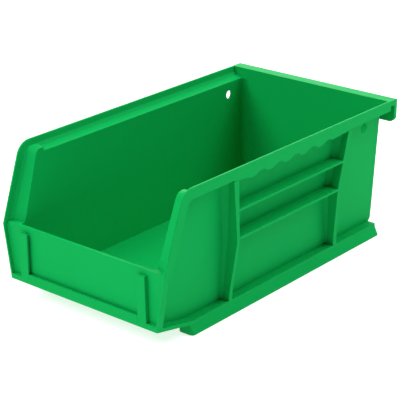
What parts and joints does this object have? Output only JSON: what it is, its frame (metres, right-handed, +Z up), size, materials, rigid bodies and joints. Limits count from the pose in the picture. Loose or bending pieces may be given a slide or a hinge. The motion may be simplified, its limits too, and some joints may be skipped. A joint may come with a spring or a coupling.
{
  "type": "stackable storage bin",
  "caption": "Open-fronted plastic storage bin with raked sides, stacking rims, foot rails, side ribs, a label holder and a rear hanger lip.",
  "frame": {"origin": "under the middle of the bin's overall box, on the surface the feet stand on", "axes": "+Z up, the open front faces -Y and the hanger lip is at +Y, +X across the width"},
  "size_m": [0.1048, 0.1872, 0.0762],
  "materials": {
    "green_polypropylene": "satin moulded"
  },
  "bodies": {
    "root": {"back_wall": "green_polypropylene", "floor_panel": "green_polypropylene", "front_sill": "green_polypropylene", "front_wall": "green_polypropylene", "hanger_lip": "green_polypropylene", "hanger_top": "green_polypropylene", "label_ledge": "green_polypropylene", "left_finger_grip": "green_polypropylene", "left_foot_rail": "green_polypropylene", "left_front_flange": "green_polypropylene", "left_front_ledge": "green_polypropylene", "left_front_rib": "green_polypropylene", "left_front_rim": "green_polypropylene", "left_label_rail": "green_polypropylene", "left_lower_rib": "green_polypropylene", "left_rear_rib": "green_polypropylene", "left_side_wall": "green_polypropylene", "left_top_ledge": "green_polypropylene", "left_top_rim": "green_polypropylene", "left_upper_rib": "green_polypropylene", "rear_heel": "green_polypropylene", "right_finger_grip": "green_polypropylene", "right_foot_rail": "green_polypropylene", "right_front_flange": "green_polypropylene", "right_front_ledge": "green_polypropylene", "right_front_rib": "green_polypropylene", "right_front_rim": "green_polypropylene", "right_label_rail": "green_polypropylene", "right_lower_rib": "green_polypropylene", "right_rear_rib": "green_polypropylene", "right_side_wall": "green_polypropylene", "right_top_ledge": "green_polypropylene", "right_top_rim": "green_polypropylene", "right_upper_rib": "green_polypropylene"}
  },
  "joints": []
}
